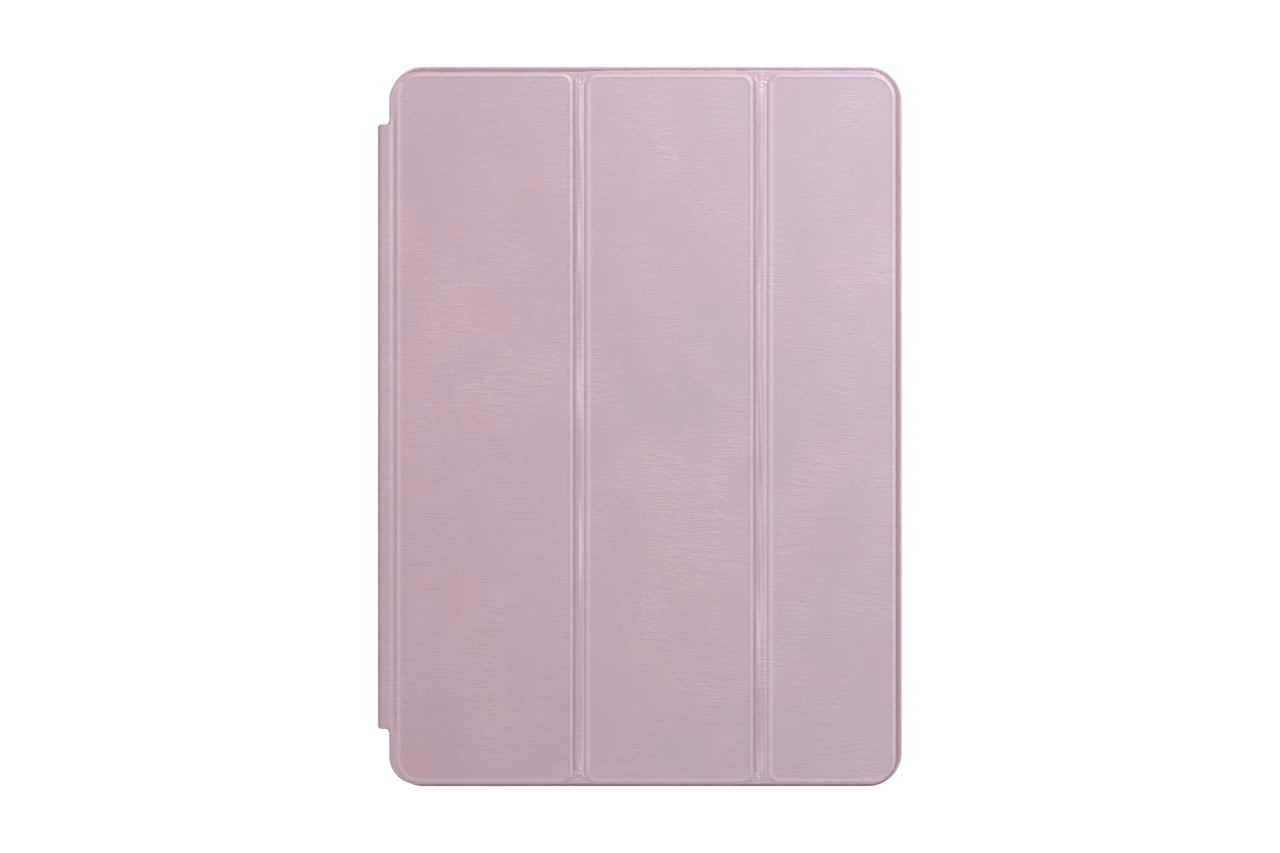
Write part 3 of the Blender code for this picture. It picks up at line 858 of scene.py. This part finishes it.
def build_lining(material):
    """The cover's lining, cut on the spine and in the middle of the panels and creases."""
    line, normal = lining_path()
    half = (LINING_HIGH[2] - LINING_LOW[2]) / 2
    middle_z = (LINING_LOW[2] + LINING_HIGH[2]) / 2
    marks = [SHELL_LEFT]
    for (near, far), middle, strip_middle in zip(STRIPS, MIDDLES, STRIP_MIDDLES):
        marks += [middle, near, strip_middle, far]
    marks += [MIDDLES[-1], LINING_RIGHT]
    across = spaced(marks, 0.35 * MM, 6 * MM, 0.25)
    low_y, high_y = LINING_LOW[1], LINING_HIGH[1]
    rows = spaced([low_y, SPINE_LOW[1], SPINE_HIGH[1], high_y], 0.3 * MM, 6 * MM, 0.25)
    path_count = len(line) - 1
    flat_x = np.concatenate([line[:-1, 0], across])
    x, y = np.meshgrid(flat_x, rows)
    on_path = np.broadcast_to(np.arange(len(flat_x)) < path_count, x.shape)
    bent_x, bent_y = round_corners(x, y, low_y, high_y, LINING_RIGHT, PANEL_OUTER_RADIUS)
    x, y = np.where(on_path, x, bent_x), np.where(on_path, y, bent_y)
    base_z = np.concatenate([line[:-1, 1], np.full(len(across), middle_z)])[None, :] + 0 * x
    normal_x = np.concatenate([normal[:-1, 0], np.zeros(len(across))])[None, :] + 0 * x
    normal_z = np.concatenate([normal[:-1, 1], np.ones(len(across))])[None, :] + 0 * x
    edge = np.minimum(np.minimum(y - low_y, high_y - y), LINING_RIGHT - x)
    soft = rim_drop(np.where(on_path, 1.0, edge), 0.25 * MM)
    grooves = sum(bump(x - fold, 0.5 * MM) for strip in STRIPS for fold in strip)
    face = half - soft - 0.18 * MM * np.where(on_path, 0, grooves)
    front = np.stack([x - normal_x * face, y, base_z - normal_z * face], axis=-1)
    back = np.stack([x + normal_x * half, y, base_z + normal_z * half], axis=-1)
    steps = np.hypot(np.diff(line[:, 0]), np.diff(line[:, 1]))
    run = np.concatenate([[0], np.cumsum(steps)])
    along = np.concatenate([run[:-1] - run[-1], across - SHELL_LEFT])
    laid_x = np.where(on_path, along + SHELL_LEFT, x)
    grain = np.stack([laid_x, y, 0 * x], axis=-1)
    inside = (rows[:-1] >= SPINE_LOW[1] - 1e-9) & (rows[1:] <= SPINE_HIGH[1] + 1e-9)
    keep = np.ones((len(rows) - 1, len(flat_x) - 1), bool)
    keep[:, :path_count] = inside[:, None]

    spine_upper = int(np.argmin(np.abs(line[:path_count, 1] - 8.0 * MM)))
    cuts = cut_columns(flat_x, path_count, spine_upper)
    lay_sheet("microfibre", "lining", material, (front, back, grain), keep, {}, cuts)


# ---------------------------------------------------------------- materials

MAUVE = (0.490, 0.360, 0.422)
ROSE = (0.515, 0.368, 0.424)
WARM = (0.545, 0.368, 0.412)
# Pale tone for grain lines and edge wear, which also serves as the colour of the painted highlights.
PALE_WEAR_AND_HIGHLIGHT = (0.770, 0.615, 0.690)
# Colour of the painted shade in creases, grooves and at the feet of the panels' edges.
PAINTED_SHADE_COLOUR = (0.420, 0.245, 0.300)
# Painted light across the case: warm fill tint on the left side, cool sheen on the right.
PAINTED_WARM_LEFT = (1.0, 0.955, 0.965)
PAINTED_COOL_RIGHT = (1.0, 1.03, 1.035)


def dress(piece, material):
    """Gives a piece its material."""
    piece.data.materials.clear()
    piece.data.materials.append(material)


class Nodes:
    """Short calls for building a material's node tree."""

    def __init__(self, name):
        self.material = bpy.data.materials.new(name)
        self.material.use_nodes = True
        self.tree = self.material.node_tree
        self.shader = self.tree.nodes["Principled BSDF"]

    def add(self, kind, **settings):
        node = self.tree.nodes.new(kind)
        for key, value in settings.items():
            setattr(node, key, value)
        return node

    def link(self, source, target):
        self.tree.links.new(source, target)

    def stored(self, attribute, output):
        return self.add("ShaderNodeAttribute", attribute_name=attribute).outputs[output]

    def object_place(self):
        return self.add("ShaderNodeTexCoord").outputs["Object"]

    def scaled(self, vector, scale, turn=0.0):
        node = self.add("ShaderNodeMapping")
        node.inputs["Scale"].default_value = scale
        node.inputs["Rotation"].default_value = (0, 0, turn)
        self.link(vector, node.inputs["Vector"])
        return node.outputs["Vector"]

    def noise(self, vector, scale, detail=3.0, roughness=0.5, distortion=0.0):
        node = self.add("ShaderNodeTexNoise")
        node.inputs["Scale"].default_value = scale
        node.inputs["Detail"].default_value = detail
        node.inputs["Roughness"].default_value = roughness
        node.inputs["Distortion"].default_value = distortion
        self.link(vector, node.inputs["Vector"])
        return node.outputs["Fac"]

    def ridges(self, vector, detail, distortion, width):
        """Thin lines that wander with the noise, 1 on each line and 0 away from it."""
        level = self.noise(vector, 1.0, detail, 0.5, distortion)
        away = self.math("ABSOLUTE", self.math("SUBTRACT", level, 0.5))
        return self.ranged(away, 0.0, width, 1.0, 0.0)

    def cells(self, vector, scale):
        node = self.add("ShaderNodeTexVoronoi")
        node.inputs["Scale"].default_value = scale
        self.link(vector, node.inputs["Vector"])
        return node.outputs["Distance"]

    def math(self, operation, first, second=0.0):
        node = self.add("ShaderNodeMath", operation=operation)
        for socket, value in zip(node.inputs, (first, second)):
            if isinstance(value, (int, float)):
                socket.default_value = value
            else:
                self.link(value, socket)
        return node.outputs[0]

    def ranged(self, value, low, high, new_low, new_high):
        node = self.add("ShaderNodeMapRange")
        self.link(value, node.inputs["Value"])
        for key, number in (
            ("From Min", low),
            ("From Max", high),
            ("To Min", new_low),
            ("To Max", new_high),
        ):
            node.inputs[key].default_value = number
        return node.outputs["Result"]

    def blend(self, share, first, second):
        node = self.add("ShaderNodeMix", data_type="RGBA")
        self.link(share, node.inputs["Factor"])
        for socket, value in ((node.inputs[6], first), (node.inputs[7], second)):
            if isinstance(value, tuple):
                socket.default_value = (*value, 1.0)
            else:
                self.link(value, socket)
        return node.outputs[2]

    def times(self, first, second):
        node = self.add("ShaderNodeMix", data_type="RGBA", blend_type="MULTIPLY")
        node.inputs["Factor"].default_value = 1.0
        self.link(first, node.inputs[6])
        self.link(second, node.inputs[7])
        return node.outputs[2]

    def relief(self, height, distance, strength=1.0, below=None):
        node = self.add("ShaderNodeBump")
        node.inputs["Strength"].default_value = strength
        node.inputs["Distance"].default_value = distance
        self.link(height, node.inputs["Height"])
        if below:
            self.link(below, node.inputs["Normal"])
        return node.outputs["Normal"]

    def set(self, **values):
        """Links or sets the shader's own sockets, named with underscores for spaces."""
        for key, value in values.items():
            socket = self.shader.inputs[key.replace("_", " ")]
            if hasattr(value, "is_output"):
                self.link(value, socket)
            else:
                socket.default_value = (*value, 1.0) if isinstance(value, tuple) else value


def leather_material():
    """Pearl leather: fine cells, short creases lying across the case, a few longer wrinkles."""
    made = Nodes("pearl_leather")
    place = made.stored("grain_at", "Vector")
    rubbed = made.stored("rubbed", "Fac")
    folded = made.stored("folded", "Fac")
    cells = made.cells(made.scaled(place, (1.0, 1.3, 1.0)), 1500.0)
    clouds = made.noise(place, 14.0, 3.0, 0.55, 0.3)
    patches = made.noise(made.scaled(place, (50.0, 30.0, 40.0)), 1.0, 3.0, 0.6)
    blotches = made.noise(place, 45.0, 4.0, 0.6)
    short = made.ridges(made.scaled(place, (85.0, 520.0, 300.0)), 2.0, 0.9, 0.12)
    shorter = made.ridges(made.scaled(place, (170.0, 900.0, 500.0), -0.04), 2.0, 1.4, 0.2)
    slanting = made.ridges(made.scaled(place, (45.0, 260.0, 150.0), 0.38), 3.0, 2.2, 0.06)
    crossing = made.ridges(made.scaled(place, (60.0, 300.0, 150.0), -0.5), 3.0, 2.6, 0.05)
    parts = made.add("ShaderNodeSeparateXYZ")
    made.link(place, parts.inputs[0])
    smoother = made.ranged(parts.outputs["Y"], 0.03, 0.1, 1.1, 0.8)
    across = made.ranged(parts.outputs["X"], -0.09, 0.09, 0.0, 1.0)
    patchy = made.math("MULTIPLY", made.ranged(patches, 0.42, 0.66, 0.12, 1.0), smoother)
    sparse = made.ranged(clouds, 0.5, 0.68, 0.0, 1.0)
    fainter = made.math("MULTIPLY", shorter, 0.4)
    lines = made.math("MULTIPLY", made.math("ADD", short, fainter), patchy)
    wrinkles = made.math("MULTIPLY", made.math("ADD", slanting, crossing), sparse)
    fine = made.relief(cells, 0.00003, 0.5)
    creased = made.relief(lines, 0.00010, 0.5, fine)
    wrinkled = made.relief(wrinkles, 0.00010, 0.4, creased)
    tint = made.blend(made.ranged(clouds, 0.35, 0.65, 0.0, 1.0), MAUVE, ROSE)
    tint = made.blend(made.ranged(blotches, 0.4, 0.75, 0.0, 0.5), tint, WARM)
    # Painted light across the case: pinker towards the left where the warm fill falls, greyer towards the right
    # where the key's sheen falls.
    tint = made.times(tint, made.blend(across, PAINTED_WARM_LEFT, PAINTED_COOL_RIGHT))
    tint = made.blend(made.math("MULTIPLY", lines, 0.08), tint, PALE_WEAR_AND_HIGHLIGHT)
    tint = made.blend(made.math("MULTIPLY", wrinkles, 0.12), tint, PALE_WEAR_AND_HIGHLIGHT)
    # Painted shade in the creases, grooves and at the feet of the panels' edges.
    tint = made.blend(made.math("MULTIPLY", folded, 0.55), tint, PAINTED_SHADE_COLOUR)
    # Painted highlight on the panels' edges, partly pale edge wear, and on the crease ridges and puckers.
    tint = made.blend(made.math("MULTIPLY", rubbed, 0.8), tint, PALE_WEAR_AND_HIGHLIGHT)
    made.set(Base_Color=tint, Roughness=made.ranged(lines, 0.0, 1.5, 0.42, 0.5), Normal=wrinkled)
    made.set(Specular_IOR_Level=0.5, Sheen_Weight=0.12, Sheen_Roughness=0.4)
    made.set(Coat_Weight=0.15, Coat_Roughness=0.35)
    return made.material


def lining_material():
    """Brushed microfibre: a short nap with cloudy brush marks."""
    made = Nodes("brushed_microfibre")
    place = made.stored("grain_at", "Vector")
    nap = made.noise(place, 2600.0, 3.0, 0.7)
    brushed = made.noise(made.scaled(place, (30.0, 90.0, 60.0)), 1.0, 3.0, 0.6, 0.8)
    tint = made.blend(made.ranged(nap, 0.3, 0.7, 0.0, 1.0), (0.50, 0.37, 0.42), (0.62, 0.49, 0.54))
    tint = made.blend(made.ranged(brushed, 0.4, 0.7, 0.0, 0.35), tint, (0.66, 0.55, 0.59))
    made.set(Base_Color=tint, Roughness=0.95, Normal=made.relief(nap, 0.00008, 0.7))
    made.set(Sheen_Weight=0.5, Sheen_Roughness=0.5, Specular_IOR_Level=0.2)
    return made.material


def tray_material():
    """Moulded polycarbonate with a fine spark texture."""
    made = Nodes("moulded_polycarbonate")
    place = made.object_place()
    spark = made.noise(place, 2200.0, 3.0, 0.6)
    flow = made.noise(place, 25.0, 2.0, 0.5, 0.5)
    cloudy = made.ranged(flow, 0.35, 0.7, 0.0, 1.0)
    # Darker than the tray's own colour, as painted shade for the gap between the cover's edge and the shell's rim.
    tint = made.blend(cloudy, (0.355, 0.245, 0.29), (0.40, 0.28, 0.325))
    made.set(
        Base_Color=tint,
        Roughness=made.ranged(spark, 0.3, 0.7, 0.38, 0.5),
        Normal=made.relief(spark, 0.00003, 0.5),
    )
    return made.material


def board_material():
    """Raw pressed fibre board with fine streaks."""
    made = Nodes("fibre_board")
    place = made.object_place()
    fibres = made.noise(made.scaled(place, (900.0, 120.0, 400.0)), 1.0, 4.0, 0.7)
    streaks = made.ranged(fibres, 0.35, 0.7, 0.0, 1.0)
    tint = made.blend(streaks, (0.36, 0.31, 0.25), (0.48, 0.43, 0.36))
    made.set(Base_Color=tint, Roughness=0.88, Normal=made.relief(fibres, 0.00008, 0.6))
    return made.material


def metal_material(name, low, high, scale, roughness):
    """Metal with fine marks, which the scale stretches into brushing."""
    made = Nodes(name)
    place = made.object_place()
    brushed = made.noise(made.scaled(place, scale), 1.0, 4.0, 0.65)
    tint = made.blend(made.ranged(brushed, 0.3, 0.7, 0.0, 1.0), low, high)
    made.set(
        Base_Color=tint,
        Roughness=made.ranged(brushed, 0.3, 0.7, roughness, roughness + 0.12),
        Normal=made.relief(brushed, 0.00002, 0.4),
        Metallic=1.0,
    )
    return made.material


def dress_frame():
    """The rigid pieces keep the frame's own shapes."""
    board = board_material()
    steel = metal_material(
        "brushed_steel", (0.50, 0.50, 0.51), (0.62, 0.62, 0.63), (2500.0, 60.0, 60.0), 0.3
    )
    nickel = metal_material(
        "nickel_plate", (0.60, 0.58, 0.54), (0.68, 0.66, 0.62), (700.0, 700.0, 700.0), 0.2
    )
    for name, node in frame["nodes"].items():
        if name.endswith("_board"):
            chosen = board
        elif "magnet" in name:
            chosen = nickel
        elif "steel" in name:
            chosen = steel
        else:
            continue
        for holder in node.material_slots:
            holder.material = chosen


# ---------------------------------------------------------------- stage, light and camera

FLOOR_DROP = 50 * MM  # room for the cover to fold down behind the case
PALE = (0.985, 0.985, 0.985)
CAMERA_RISE = 1.207  # above the cover's face


def build_stage():
    """A pale floor that glows white, under a soft sky."""
    shape = bmesh.new()
    bmesh.ops.create_grid(shape, x_segments=1, y_segments=1, size=4.0)
    mesh = bpy.data.meshes.new("floor")
    shape.to_mesh(mesh)
    shape.free()
    floor = bpy.data.objects.new("floor", mesh)
    floor.location.z = -FLOOR_DROP
    bpy.context.scene.collection.objects.link(floor)
    made = Nodes("pale_floor")
    made.set(Base_Color=(0.05, 0.05, 0.05), Roughness=0.9, Specular_IOR_Level=0.1)
    made.set(Emission_Color=PALE, Emission_Strength=1.0)
    mesh.materials.append(made.material)
    world = bpy.data.worlds.new("studio")
    bpy.context.scene.world = world
    world.use_nodes = True
    sky = world.node_tree.nodes["Background"]
    sky.inputs["Color"].default_value = (1.0, 0.955, 0.97, 1.0)
    sky.inputs["Strength"].default_value = 0.27


def add_light(name, place, aim, side, power, colour):
    """A square softbox of this side, pointed at a place."""
    data = bpy.data.lights.new(name, "AREA")
    data.shape = "RECTANGLE"
    data.size, data.size_y = side, side
    data.energy = power
    data.color = colour
    lamp = bpy.data.objects.new(name, data)
    lamp.location = place
    direction = Vector(aim) - Vector(place)
    lamp.rotation_euler = direction.to_track_quat("-Z", "Y").to_euler()
    bpy.context.scene.collection.objects.link(lamp)


def build_lights():
    """A cool key from the upper right and a weak warm fill from the lower left."""
    key_colour, fill_colour = (0.93, 0.985, 0.995), (1.0, 0.86, 0.9)
    add_light("key_softbox", (0.45, 0.55, 0.70), (0.05, 0.05, 0), 0.75, 12.9, key_colour)
    add_light("fill_softbox", (-0.9, -0.6, 0.9), (0, 0, 0), 1.0, 2.7, fill_colour)


def build_camera():
    """A long lens square on to the cover."""
    data = bpy.data.cameras.new("camera")
    data.lens = 100.0
    data.sensor_width = 36.0
    data.clip_end = 20.0
    camera = bpy.data.objects.new("camera", data)
    middle = (CAD_LOW + CAD_HIGH) / 2
    camera.location = (middle.x, middle.y, FACE_TOP + CAMERA_RISE)
    bpy.context.scene.collection.objects.link(camera)
    bpy.context.scene.camera = camera


leather = leather_material()
lining = lining_material()
dress_frame()
build_cover_leather(leather)
build_spine_ends(leather)
build_shell_leather(leather)
build_tray(tray_material())
build_tray_lining(lining)
build_lining(lining)
build_stage()
build_lights()
build_camera()
bpy.context.scene.view_settings.view_transform = "Standard"
